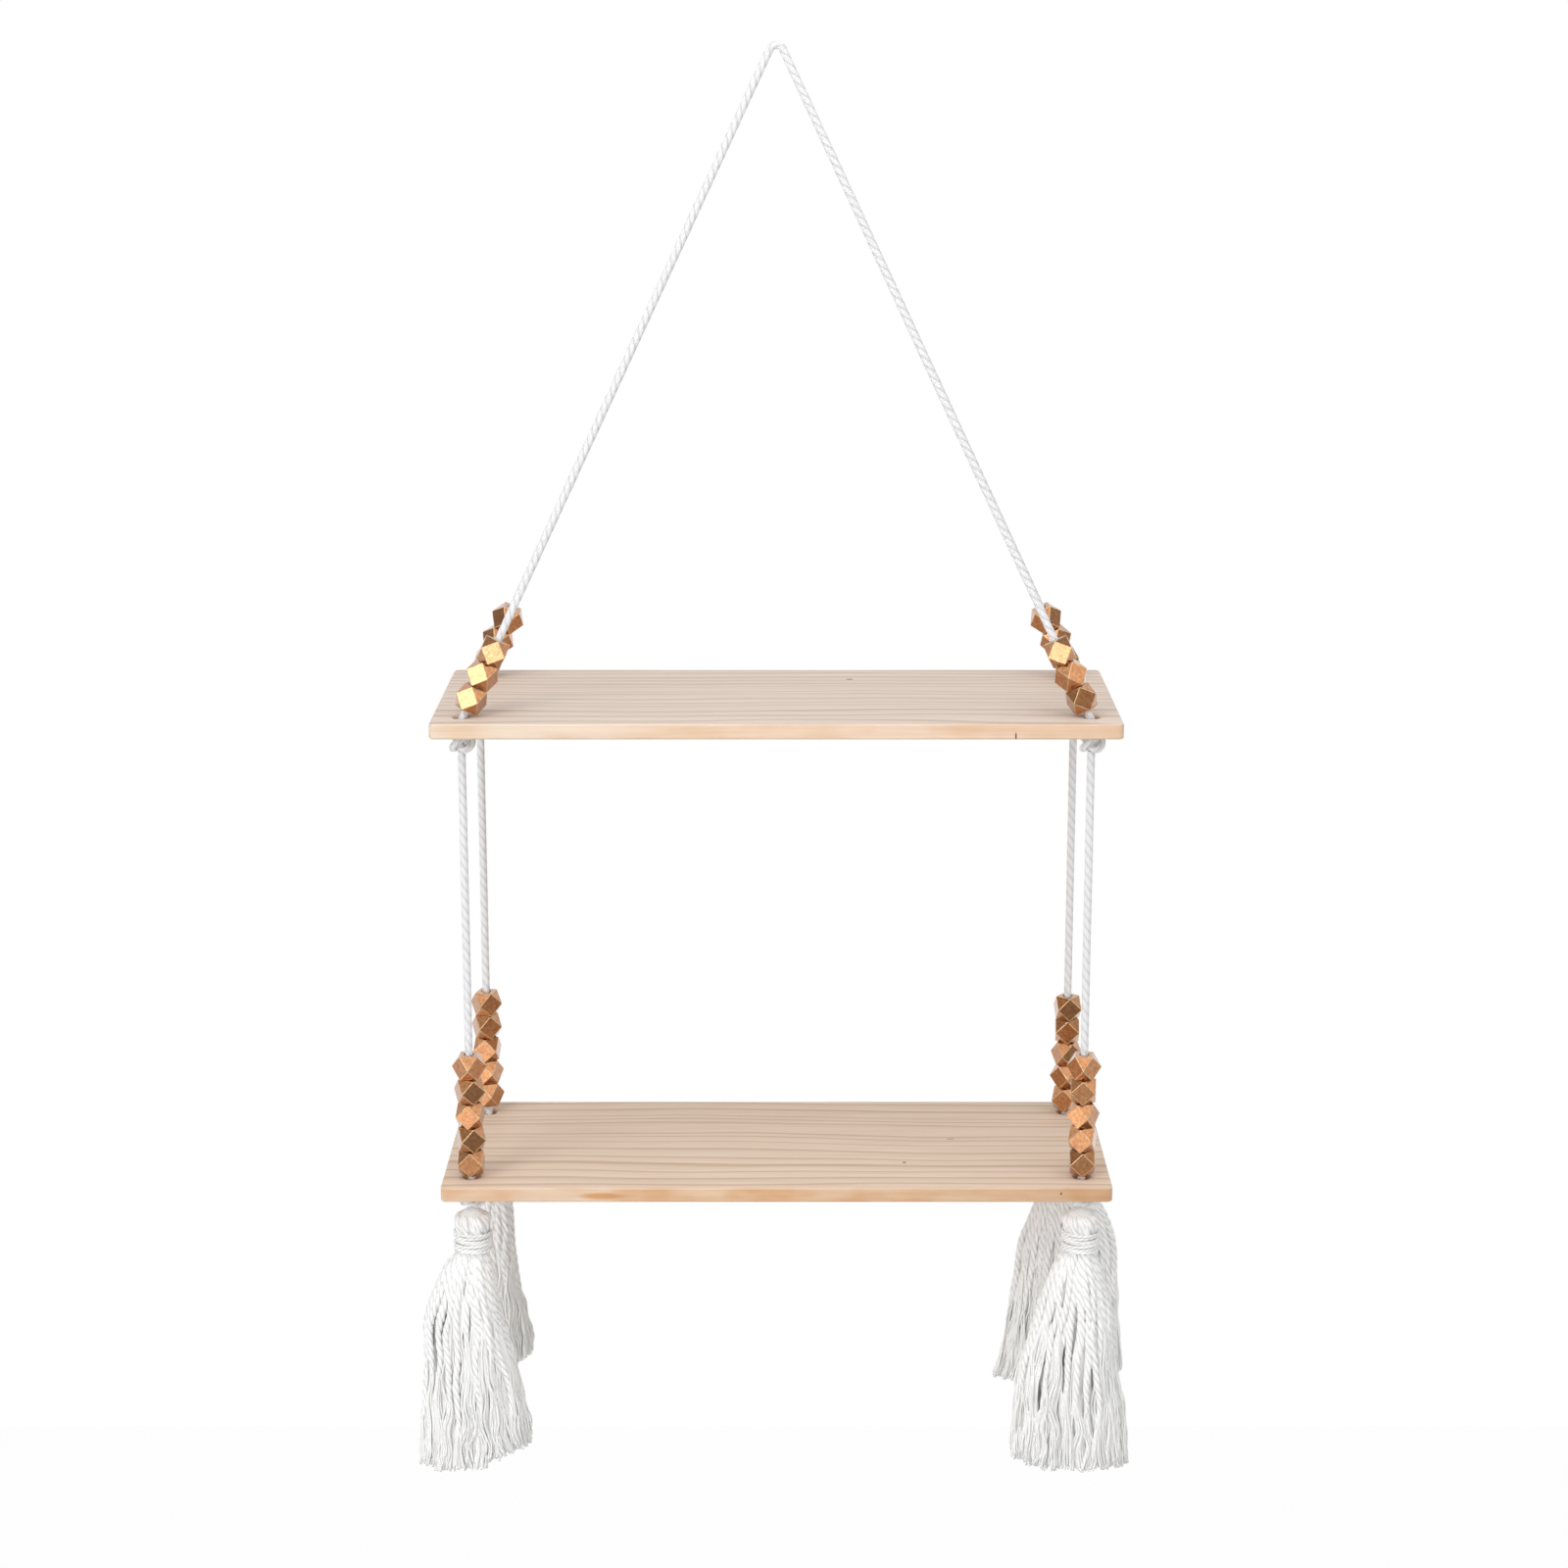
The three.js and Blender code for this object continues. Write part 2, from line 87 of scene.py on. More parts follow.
def curve_through(stations, count):
    """A smooth curve through stations: between two of them a cubic whose slope at
    each station is half the step from the station before it to the one after."""
    stations = np.asarray(stations, float)
    last = stations.shape[-2] - 1
    place = np.linspace(0.0, last, count)
    low = np.minimum(place.astype(int), last - 1)
    part = (place - low)[:, None]
    before, start, end, after = [
        stations[..., np.clip(low + step, 0, last), :] for step in (-1, 0, 1, 2)
    ]
    return start + 0.5 * part * (
        end - before
        + part * (2.0 * before - 5.0 * start + 4.0 * end - after
                  + part * (3.0 * (start - end) + after - before))
    )


def even_steps(route, step):
    """The same route with its points a whole number of equal steps apart."""
    lengths = np.linalg.norm(np.diff(route, axis=0), axis=1)
    along = np.concatenate(([0.0], np.cumsum(lengths)))
    places = np.linspace(0.0, along[-1], max(2, round(along[-1] / step) + 1))
    return np.stack([np.interp(places, along, route[:, axis]) for axis in range(3)], axis=1)


def laid_surface(
    routes, diameter, lay, plies=3, around=24, ring=0.11, side=(0.0, 1.0, 0.0), rounds=None
):
    """Skins of laid cords: around each route the skin stands off by the distance to
    the outside of the nearest ply, ring cos(a) + sqrt(ply^2 - (ring sin(a))^2), where
    a is the angle from that ply's middle and ring the share of the diameter at which
    the plies' middles lie. The plies turn left once per lay, or by the rounds given
    for the whole route. Gives the points, and pattern coordinates that count the turn
    round the cord and the plies, whole on each ply's crown."""
    routes = np.asarray(routes, float)
    slopes = np.gradient(routes, axis=-2)
    ahead = unit(slopes)
    side = np.asarray(side, float)
    across = unit(side - np.sum(side * ahead, axis=-1, keepdims=True) * ahead)
    other = np.cross(ahead, across)
    steps = np.linalg.norm(np.diff(routes, axis=-2), axis=-1)
    start = np.zeros(steps.shape[:-1] + (1,))
    along = np.concatenate((start, np.cumsum(steps, axis=-1)), axis=-1)
    turns = along / lay if rounds is None else rounds * along / along[..., -1:]
    spread = np.arange(around + 1) / around
    from_ply = (spread * plies + 0.5) % 1.0 - 0.5
    angle = from_ply * 2.0 * math.pi / plies
    ply = 0.5 - ring
    reach = ring * np.cos(angle) + np.sqrt(ply ** 2 - (ring * np.sin(angle)) ** 2)
    round_share = spread - turns[..., None]
    turn_angle = 2.0 * math.pi * round_share
    radius = np.asarray(diameter, float)[..., None] * reach
    points = (
        routes[..., None, :]
        + (radius * np.cos(turn_angle))[..., None] * across[..., None, :]
        + (radius * np.sin(turn_angle))[..., None] * other[..., None, :]
    )
    pattern = np.stack(np.broadcast_arrays(round_share, spread * plies), axis=-1)
    return points[..., :-1, :], pattern


def skin_mesh(name, points, pattern, closed=False):
    """A mesh from tube skins: points is tubes x rows x columns x 3 in millimetres and
    pattern the UV values with one column more. Each four neighbours make a face, the
    columns close on themselves, and the rows do too or end in a flat cap."""
    if points.ndim == 3:
        points, pattern = points[None], pattern[None]
    tubes, rows, columns = points.shape[:3]
    number = np.arange(tubes * rows * columns).reshape(tubes, rows, columns)
    if closed:
        row_ends = (np.arange(rows) + 1) % rows
        lower, upper = number, number[:, row_ends]
        uv_low, uv_high = pattern[:, :rows], pattern[:, 1:rows + 1]
    else:
        lower, upper = number[:, :-1], number[:, 1:]
        uv_low, uv_high = pattern[:, :-1], pattern[:, 1:]
    next_column = (np.arange(columns) + 1) % columns
    quads = np.stack(
        (lower, lower[:, :, next_column], upper[:, :, next_column], upper), axis=-1
    ).reshape(-1)
    quad_uv = np.stack(
        (uv_low[:, :, :-1], uv_low[:, :, 1:], uv_high[:, :, 1:], uv_high[:, :, :-1]), axis=-2
    ).reshape(-1, 2)
    corners, uv = [quads], [quad_uv]
    totals = [np.full(quads.size // 4, 4)]
    if not closed:
        for row, turn in ((0, -1), (rows - 1, 1)):
            corners.append(number[:, row, ::turn].reshape(-1))
            uv.append(pattern[:, row, :-1][:, ::turn].reshape(-1, 2))
            totals.append(np.full(tubes, columns))
    corners, totals = np.concatenate(corners), np.concatenate(totals)
    mesh = bpy.data.meshes.new(name)
    mesh.vertices.add(number.size)
    mesh.vertices.foreach_set("co", (points * mm).astype(np.float32).reshape(-1))
    mesh.loops.add(corners.size)
    mesh.loops.foreach_set("vertex_index", corners.astype(np.int32))
    mesh.polygons.add(totals.size)
    mesh.polygons.foreach_set("loop_start", (np.cumsum(totals) - totals).astype(np.int32))
    mesh.polygons.foreach_set("use_smooth", np.ones(totals.size, bool))
    mesh.uv_layers.new(name="pattern").uv.foreach_set(
        "vector", np.concatenate(uv).astype(np.float32).reshape(-1)
    )
    mesh.update(calc_edges=True)
    mesh.validate()
    return mesh


def linear(hex_colour):
    """A hex colour as the linear values that a shader takes, with full alpha."""
    levels = np.array([int(hex_colour[i:i + 2], 16) for i in (1, 3, 5)]) / 255.0
    bright = ((levels + 0.055) / 1.055) ** 2.4
    return (*np.where(levels <= 0.04045, levels / 12.92, bright), 1.0)


def add_node(material, kind, inputs=(), links=(), stops=(), **settings):
    """Adds one shader node with its settings, its inputs' values and its links. Stops
    are the places and hex colours of a colour ramp."""
    node = material.node_tree.nodes.new(kind)
    for setting, value in settings.items():
        setattr(node, setting, value)
    for socket, value in dict(inputs).items():
        node.inputs[socket].default_value = value
    for socket, source in dict(links).items():
        material.node_tree.links.new(source, node.inputs[socket])
    for number, (place, colour) in enumerate(stops):
        ramp = node.color_ramp.elements
        element = ramp[number] if number < 2 else ramp.new(place)
        element.position = place
        element.color = linear(colour)
    return node


def new_material(name):
    """A material with an empty node tree, and the output node that it needs."""
    material = bpy.data.materials.new(name)
    material.use_nodes = True
    material.node_tree.nodes.clear()
    return material, add_node(material, "ShaderNodeOutputMaterial")


def set_piece(name, mesh, material, body, replaced):
    """Puts a finished mesh in the scene on its body, in place of its CAD nodes."""
    piece = bpy.data.objects.new(name, mesh)
    mesh.materials.append(material)
    bpy.context.scene.collection.objects.link(piece)
    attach(piece, body)
    if replaced:
        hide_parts(*replaced)
    return piece


def spun_cotton(name, yarns_round, fibre_size, white, groove_shade, passing):
    """Bleached cotton, spun and laid: matt and white, with soft sheen from the loose
    fibres. The yarns run nearly straight down the cord, so their furrows follow the
    pattern's round coordinate, fuzz breaks them up, drawn coarser than real fibres so
    that it shows. The colour is painted darker low in the furrows as painted shade and
    varies with the fuzz as the cotton's own tone, and the grooves between the plies
    are painted grey as painted shade. The passing share of the light goes into a
    single cord and softens its dark side."""
    material, output = new_material(name)
    pattern = add_node(material, "ShaderNodeUVMap", uv_map="pattern")
    place = add_node(material, "ShaderNodeTexCoord")
    split = add_node(material, "ShaderNodeSeparateXYZ", links={"Vector": pattern.outputs["UV"]})
    fuzz = add_node(
        material, "ShaderNodeTexNoise",
        inputs={"Scale": metre / fibre_size, "Detail": 3.0, "Roughness": 0.65},
        links={"Vector": place.outputs["Object"]},
    )
    sway = add_node(
        material, "ShaderNodeMath", operation="MULTIPLY", inputs={1: 3.0},
        links={0: fuzz.outputs["Fac"]},
    )
    bent = add_node(
        material, "ShaderNodeMath", operation="MULTIPLY_ADD",
        inputs={1: yarns_round * 2.0 * math.pi},
        links={0: split.outputs["X"], 2: sway.outputs[0]},
    )
    furrow = add_node(material, "ShaderNodeMath", operation="SINE", links={0: bent.outputs[0]})
    height = add_node(
        material, "ShaderNodeMath", operation="MULTIPLY_ADD",
        inputs={1: 0.35}, links={0: furrow.outputs[0], 2: fuzz.outputs["Fac"]},
    )
    bump = add_node(
        material, "ShaderNodeBump", inputs={"Strength": 0.2, "Distance": 0.3 * mm},
        links={"Height": height.outputs[0]},
    )
    # Partly painted shade: the colour is darker low in the yarn furrows, as painted shade, and
    # varies with the fuzz as the cotton's own tone.
    shade = add_node(
        material, "ShaderNodeValToRGB", links={"Fac": height.outputs[0]},
        stops=((0.0, white[0]), (0.75, white[1])),
    )
    # Painted shade: the colour is multiplied by the groove colour, grey in the valleys between the
    # plies and white on their crowns.
    ply_turn = add_node(
        material, "ShaderNodeMath", operation="MULTIPLY", inputs={1: 2.0 * math.pi},
        links={0: split.outputs["Y"]},
    )
    crown = add_node(material, "ShaderNodeMath", operation="COSINE", links={0: ply_turn.outputs[0]})
    crown_share = add_node(
        material, "ShaderNodeMapRange", inputs={"From Min": -1.0, "From Max": -0.1},
        links={"Value": crown.outputs[0]},
    )
    grooves = add_node(
        material, "ShaderNodeValToRGB", links={"Fac": crown_share.outputs["Result"]},
        stops=((0.0, groove_shade), (1.0, "#FFFFFF")),
    )
    grooved = add_node(
        material, "ShaderNodeMix", data_type="RGBA", blend_type="MULTIPLY", inputs={"Factor": 1.0},
        links={"A": shade.outputs["Color"], "B": grooves.outputs["Color"]},
    )
    finish = add_node(
        material, "ShaderNodeBsdfPrincipled",
        inputs={
            "Roughness": 0.92, "Sheen Weight": 0.3, "Sheen Roughness": 0.5,
            "Subsurface Weight": passing, "Subsurface Radius": (1.0, 1.0, 1.0),
            "Subsurface Scale": 1.2 * mm,
        },
        links={"Base Color": grooved.outputs["Result"], "Normal": bump.outputs["Normal"]},
    )
    material.node_tree.links.new(finish.outputs["BSDF"], output.inputs["Surface"])
    return material


# Painted shade: the cords' cotton is the tassels' white cotton painted darker, so that the side
# towards the key lamp doesn't burn out, and its ply grooves are painted grey as painted shade.
cord_cotton = spun_cotton(
    "cotton_laid_cord", yarns_round=10, fibre_size=0.5, white=("#E4E4E5", "#ECECED"),
    groove_shade="#EAEAEC", passing=1.0,
)


def nail_cord_half(sign):
    """One half of a nail cord's route on the right, from the nail's top down its leg:
    an arc round the nail, a straight leg, and a short bend into the hole. The leg's
    foot is where it would meet the middle line of the hole."""
    arc_points, bend_points = 24, 8
    foot = np.array([hole_x, sign * hole_y, cord_foot_level])
    rise = nail_level - cord_foot_level
    lean = math.acos(nail_bend_radius / math.hypot(hole_x, rise)) - math.atan2(rise, hole_x)
    angle = np.linspace(0.5 * math.pi, lean, arc_points)
    arc = np.stack(
        (nail_bend_radius * np.cos(angle), np.full(arc_points, sign * nail_lane),
         nail_level + nail_bend_radius * np.sin(angle)), axis=1,
    )
    leg = unit(arc[-1] - foot)
    share = np.linspace(0.0, 1.0, bend_points)[:, None]
    top, bottom = foot + cord_bend * leg, foot - np.array([0.0, 0.0, cord_bend])
    bend = (1.0 - share) ** 2 * top + 2.0 * share * (1.0 - share) * foot + share ** 2 * bottom
    end = np.array([[hole_x, sign * hole_y, cord_end_level]])
    return np.concatenate((arc, bend, end))


for cord_name, sign in (("front_cord", -1), ("rear_cord", 1)):
    right = nail_cord_half(sign)
    left = right[::-1] * np.array([-1.0, 1.0, 1.0])
    route = even_steps(np.concatenate((left[:-1], right)), route_step)
    points, pattern = laid_surface(
        route, np.full(len(route), cord_skin), cord_lay, ring=cord_ply_place
    )
    mesh = skin_mesh(cord_name + "_laid", points, pattern)
    piece = set_piece(
        cord_name + "_laid", mesh, cord_cotton, "upper_tier", [cord_name]
    )

# The lower cords: the same cotton cord, running straight down from the knots under
# the upper board, through the beads and the lower board's holes to the stop knots.
lower_cord_top = -398.112
lower_cord_end = -670.457
for corner, (x, y) in CORNERS.items():
    ends = np.array([[x * hole_x, y * hole_y, level] for level in (lower_cord_top, lower_cord_end)])
    route = even_steps(ends, route_step)
    points, pattern = laid_surface(
        route, np.full(len(route), cord_skin), cord_lay, ring=cord_ply_place
    )
    name = "lower_cord_" + corner + "_laid"
    piece = set_piece(
        name, skin_mesh(name, points, pattern), cord_cotton,
        "hanging_cord_" + corner, ["lower_cord_" + corner],
    )

# The knots: the cord is tied in a pulled-up overhand knot under each hole of both
# boards. It carries each board on its three lobes.
knot_radius = 4.4
knot_lobe = 2.0
knot_cord = 4.1
knot_turns = 5
upper_knot_level, upper_knot_rise = -392.85, 3.8
stop_knot_level, stop_knot_rise = -674.65, 2.6


def overhand_loop(centre, rise, count=140):
    """Twice round the centre while the distance from it and the height swing three
    times: radius + lobe cos(3t) out at the angle 2t, and rise sin(3t) up."""
    t = np.linspace(0.0, 2.0 * math.pi, count + 1)
    out = knot_radius + knot_lobe * np.cos(3.0 * t)
    loop = (out * np.cos(2.0 * t), out * np.sin(2.0 * t), rise * np.sin(3.0 * t))
    return np.stack(loop, axis=1) + centre


for corner, (x, y) in CORNERS.items():
    for start, level, rise, body in (
        ("knot_", upper_knot_level, upper_knot_rise, "upper_tier"),
        ("stop_knot_", stop_knot_level, stop_knot_rise, "lower_tier"),
    ):
        loop = overhand_loop(np.array([x * hole_x, y * hole_y, level]), rise)
        points, pattern = laid_surface(
            loop, np.full(len(loop), knot_cord), cord_lay,
            side=(0.0, 0.0, 1.0), rounds=knot_turns,
        )
        name = start + corner
        set_piece(
            name + "_tied", skin_mesh(name + "_tied", points[:-1], pattern, closed=True),
            cord_cotton, body, [name],
        )

# The boards: planed pine with lightly rounded edges and four drilled holes, left
# pale and uncoated. Their grain runs the long way in fine wavy lines.
def planed_pine(name, pith_side, pith_depth, ring_width, wave_depth, face, edge, marks):
    """Planed pine: pale wood crossed by thin darker latewood lines. They are the
    growth rings of a trunk whose middle lies at pith_side and pith_depth: the distance
    from it, gently waved along the grain, is counted in ring widths. Fine fibres run
    the long way, drawn 2 mm wide so that they show. The colours are those of early,
    middle and late wood on the faces, and from left to right, then of the blotches,
    on the warmer front and back edges. The edges are lighter than the faces partly as
    the wood's own colour and partly as painted light from the front, and they darken
    towards the right as a painted falloff of the light. Marks lists the small knots
    and specks: place, reach on the axes, and colour."""
    wave_size = (312.5, 100.0, 100.0)
    blotch_size = (38.46, 16.67, 16.67)
    fibre_size = (71.43, 1.923, 1.923)
    material, output = new_material(name)
    place = add_node(material, "ShaderNodeTexCoord")
    split = add_node(material, "ShaderNodeSeparateXYZ", links={"Vector": place.outputs["Object"]})
    from_pith = add_node(
        material, "ShaderNodeMapping",
        inputs={"Location": (0.0, pith_side * mm, pith_depth * mm), "Scale": (0.0, 1.0, 1.0)},
        links={"Vector": place.outputs["Object"]},
    )
    distance = add_node(
        material, "ShaderNodeVectorMath", operation="LENGTH",
        links={0: from_pith.outputs["Vector"]},
    )
    long_waves = add_node(
        material, "ShaderNodeMapping",
        inputs={"Scale": tuple(metre / size for size in wave_size)},
        links={"Vector": place.outputs["Object"]},
    )
    wave = add_node(
        material, "ShaderNodeTexNoise", inputs={"Scale": 1.0, "Detail": 2.0, "Roughness": 0.45},
        links={"Vector": long_waves.outputs["Vector"]},
    )
    waved = add_node(
        material, "ShaderNodeMath", operation="MULTIPLY_ADD", inputs={1: wave_depth * mm},
        links={0: wave.outputs["Fac"], 2: distance.outputs["Value"]},
    )
    rings = add_node(
        material, "ShaderNodeMath", operation="MULTIPLY", inputs={1: metre / ring_width},
        links={0: waved.outputs[0]},
    )
    year = add_node(
        material, "ShaderNodeTexNoise", noise_dimensions="1D",
        inputs={"Scale": 0.55, "Detail": 2.0},
        links={"W": rings.outputs[0]},
    )
    uneven = add_node(
        material, "ShaderNodeMath", operation="MULTIPLY_ADD", inputs={1: 1.6},
        links={0: year.outputs["Fac"], 2: rings.outputs[0]},
    )
    ring_share = add_node(
        material, "ShaderNodeMath", operation="FRACT", links={0: uneven.outputs[0]}
    )
    early, middle, late = face
    ring_colour = add_node(
        material, "ShaderNodeValToRGB", links={"Fac": ring_share.outputs[0]},
        stops=((0.0, early), (1.0, early), (0.6, middle), (0.84, late), (0.91, late)),
    )
    # Painted light falloff: the edge colours darken from left to right, where the light falls off.
    painted_falloff_place = add_node(
        material, "ShaderNodeMapRange", inputs={"From Min": -0.2, "From Max": 0.2},
        links={"Value": split.outputs["X"]},
    )
    edge_colour_and_painted_falloff = add_node(
        material, "ShaderNodeValToRGB", links={"Fac": painted_falloff_place.outputs["Result"]},
        stops=((0.0, edge[0]), (1.0, edge[2]), (0.5, edge[1])),
    )
    blotch_grain = add_node(
        material, "ShaderNodeMapping",
        inputs={"Scale": tuple(metre / size for size in blotch_size)},
        links={"Vector": place.outputs["Object"]},
    )
    blotch_noise = add_node(
        material, "ShaderNodeTexNoise", inputs={"Scale": 1.0, "Detail": 2.0},
        links={"Vector": blotch_grain.outputs["Vector"]},
    )
    blotch = add_node(
        material, "ShaderNodeValToRGB", links={"Fac": blotch_noise.outputs["Fac"]},
        stops=((0.42, "#FFFFFF"), (0.66, edge[3])),
    )
    edge_blotched = add_node(
        material, "ShaderNodeMix", data_type="RGBA", blend_type="MULTIPLY", inputs={"Factor": 1.0},
        links={"A": edge_colour_and_painted_falloff.outputs["Color"], "B": blotch.outputs["Color"]},
    )
    # The front and back edges take the edge colours, lighter than the faces partly as painted light
    # from the front.
    facing = add_node(material, "ShaderNodeSeparateXYZ", links={"Vector": place.outputs["Normal"]})
    edge_share = add_node(
        material, "ShaderNodeMath", operation="ABSOLUTE", links={0: facing.outputs["Y"]}
    )
    wood = add_node(
        material, "ShaderNodeMix", data_type="RGBA",
        links={
            "Factor": edge_share.outputs[0], "A": ring_colour.outputs["Color"],
            "B": edge_blotched.outputs["Result"],
        },
    )
    fibre_grain = add_node(
        material, "ShaderNodeMapping",
        inputs={"Scale": tuple(metre / size for size in fibre_size)},
        links={"Vector": place.outputs["Object"]},
    )
    fibres = add_node(
        material, "ShaderNodeTexNoise", inputs={"Scale": 1.0, "Detail": 3.0, "Roughness": 0.6},
        links={"Vector": fibre_grain.outputs["Vector"]},
    )
    fibre_shade = add_node(
        material, "ShaderNodeValToRGB", links={"Fac": fibres.outputs["Fac"]},
        stops=((0.3, "#F4EFEA"), (0.68, "#FFFFFF")),
    )
    wood = add_node(
        material, "ShaderNodeMix", data_type="RGBA", blend_type="MULTIPLY", inputs={"Factor": 1.0},
        links={"A": wood.outputs["Result"], "B": fibre_shade.outputs["Color"]},
    )
    for spot, reach, colour in marks:
        shrunk = add_node(
            material, "ShaderNodeMapping",
            inputs={
                "Location": tuple(-at / size for at, size in zip(spot, reach)),
                "Scale": tuple(metre / size for size in reach),
            },
            links={"Vector": place.outputs["Object"]},
        )
        away = add_node(
            material, "ShaderNodeVectorMath", operation="LENGTH",
            links={0: shrunk.outputs["Vector"]},
        )
        within = add_node(
            material, "ShaderNodeMapRange", interpolation_type="SMOOTHSTEP",
            inputs={"From Min": 1.0, "From Max": 0.35}, links={"Value": away.outputs["Value"]},
        )
        stain = add_node(
            material, "ShaderNodeValToRGB", links={"Fac": within.outputs["Result"]},
            stops=((0.0, "#FFFFFF"), (1.0, colour)),
        )
        wood = add_node(
            material, "ShaderNodeMix", data_type="RGBA", blend_type="MULTIPLY",
            inputs={"Factor": 1.0},
            links={"A": wood.outputs["Result"], "B": stain.outputs["Color"]},
        )
    bump = add_node(
        material, "ShaderNodeBump", inputs={"Strength": 0.1, "Distance": 0.2 * mm},
        links={"Height": fibres.outputs["Fac"]},
    )
    finish = add_node(
        material, "ShaderNodeBsdfPrincipled", inputs={"Roughness": 0.6, "IOR": 1.45},
        links={"Base Color": wood.outputs["Result"], "Normal": bump.outputs["Normal"]},
    )
    material.node_tree.links.new(finish.outputs["BSDF"], output.inputs["Surface"])
    return material


# The edge colours are lighter than the faces and darker towards the right, partly as painted light.
BOARD_WOODS = {
    "upper_board": planed_pine(
        "planed_pine_upper", pith_side=95.0, pith_depth=425.0, ring_width=9.5, wave_depth=30.0,
        face=("#EFE0D4", "#EBDBCE", "#D9C5B4"),
        edge=("#EFDDCB", "#F0D7C1", "#ECCEB5", "#F8EFE2"),
        marks=(
            ((44.4, 47.0, -378.0), (3.2, 1.8, 3.0), "#93786A"),
            ((137.7, -75.0, -385.0), (0.7, 2.0, 3.4), "#7A6150"),
        ),
    ),
    "lower_board": planed_pine(
        "planed_pine_lower", pith_side=210.0, pith_depth=715.0, ring_width=10.0, wave_depth=34.0,
        face=("#F2DECB", "#EFD9C5", "#DABFA7"),
        edge=("#E9D0B9", "#E6C7A8", "#D6B18F", "#F3DFC8"),
        marks=(
            ((77.5, -32.7, -661.0), (1.8, 1.8, 3.0), "#A98F7C"),
            ((107.5, 7.5, -661.0), (3.4, 1.0, 3.0), "#C2AC99"),
            ((169.2, -75.0, -664.5), (0.7, 2.0, 1.3), "#5F4636"),
            ((-104.0, -75.0, -666.0), (17.0, 3.0, 3.0), "#EFCFA8"),
        ),
    ),
}
for board, wood in BOARD_WOODS.items():
    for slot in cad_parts[board].material_slots:
        slot.material = wood

# The beads: turned-wood blanks sawn to fourteen facets and sprayed in copper paint,
# three threaded on each leg above the upper board and five on each lower cord.
bead_half = 7.4
bead_bore = 3.0
bead_pitch = 15.1
edge_round = 0.3
upper_cord_lean = np.array([-0.422736, -0.126475, 0.897384])
upper_lowest_face = np.array([180.049, 55.117, -374.235])
lower_lowest_faces = {
    "front_left": -658.9,
    "front_right": -658.9,
    "rear_left": -655.8,
    "rear_right": -658.9,
}
# How far each bead is turned round its cord, in quarter turns from the lowest up
upper_turns = {
    "front_left": (-0.2, -0.25, 0.05),
    "front_right": (0.15, 0.37, -0.03),
    "rear_left": (0.1, 0.45, 0.5),
    "rear_right": (0.1, 0.4, -0.44),
}
lower_turns = {
    "front_left": (-0.02, 0.22, -0.09, 0.27, 0.5),
    "front_right": (-0.02, -0.18, -0.38, -0.08, 0.42),
    "rear_left": (-0.33, -0.28, -0.09, 0.27, 0.33),
    "rear_right": (-0.2, 0.5, 0.28, -0.03, 0.08),
}


def copper_paint(name, base, dark, roughness):
    """Metallic copper paint on wood: warm and satin, bright where a facet faces the
    light, with specks of flake, drawn coarser than real ones so that they show, and
    soft blotches of the dark colour where the coat is thinner."""
    flake_size = 0.8333
    blotch_size = 1.923
    material, output = new_material(name)
    place = add_node(material, "ShaderNodeTexCoord")
    flake = add_node(
        material, "ShaderNodeTexNoise", inputs={"Scale": metre / flake_size, "Detail": 3.0},
        links={"Vector": place.outputs["Object"]},
    )
    cloud = add_node(
        material, "ShaderNodeTexNoise", inputs={"Scale": metre / blotch_size, "Detail": 3.0},
        links={"Vector": place.outputs["Object"]},
    )
    colour = add_node(
        material, "ShaderNodeValToRGB", links={"Fac": cloud.outputs["Fac"]},
        stops=((0.35, dark), (0.65, base)),
    )
    bump = add_node(
        material, "ShaderNodeBump", inputs={"Strength": 0.6, "Distance": 0.14 * mm},
        links={"Height": flake.outputs["Fac"]},
    )
    finish = add_node(
        material, "ShaderNodeBsdfPrincipled",
        inputs={
            "Metallic": 0.95, "Roughness": roughness, "Coat Weight": 1.0, "Coat Roughness": 0.18,
        },
        links={"Base Color": colour.outputs["Color"], "Normal": bump.outputs["Normal"]},
    )
    material.node_tree.links.new(finish.outputs["BSDF"], output.inputs["Surface"])
    return material


copper_faces = copper_paint(
    "copper_paint_on_wood", base="#C88C57", dark="#AC6F40", roughness=0.22
)
# Paler copper for the softened edges: partly worn paint, and partly a painted highlight where the
# rounded edges catch the light.
copper_worn_edges_and_highlight = copper_paint(
    "copper_paint_worn_edge_and_painted_highlight", base="#E2C295", dark="#D0A97A", roughness=0.45
)


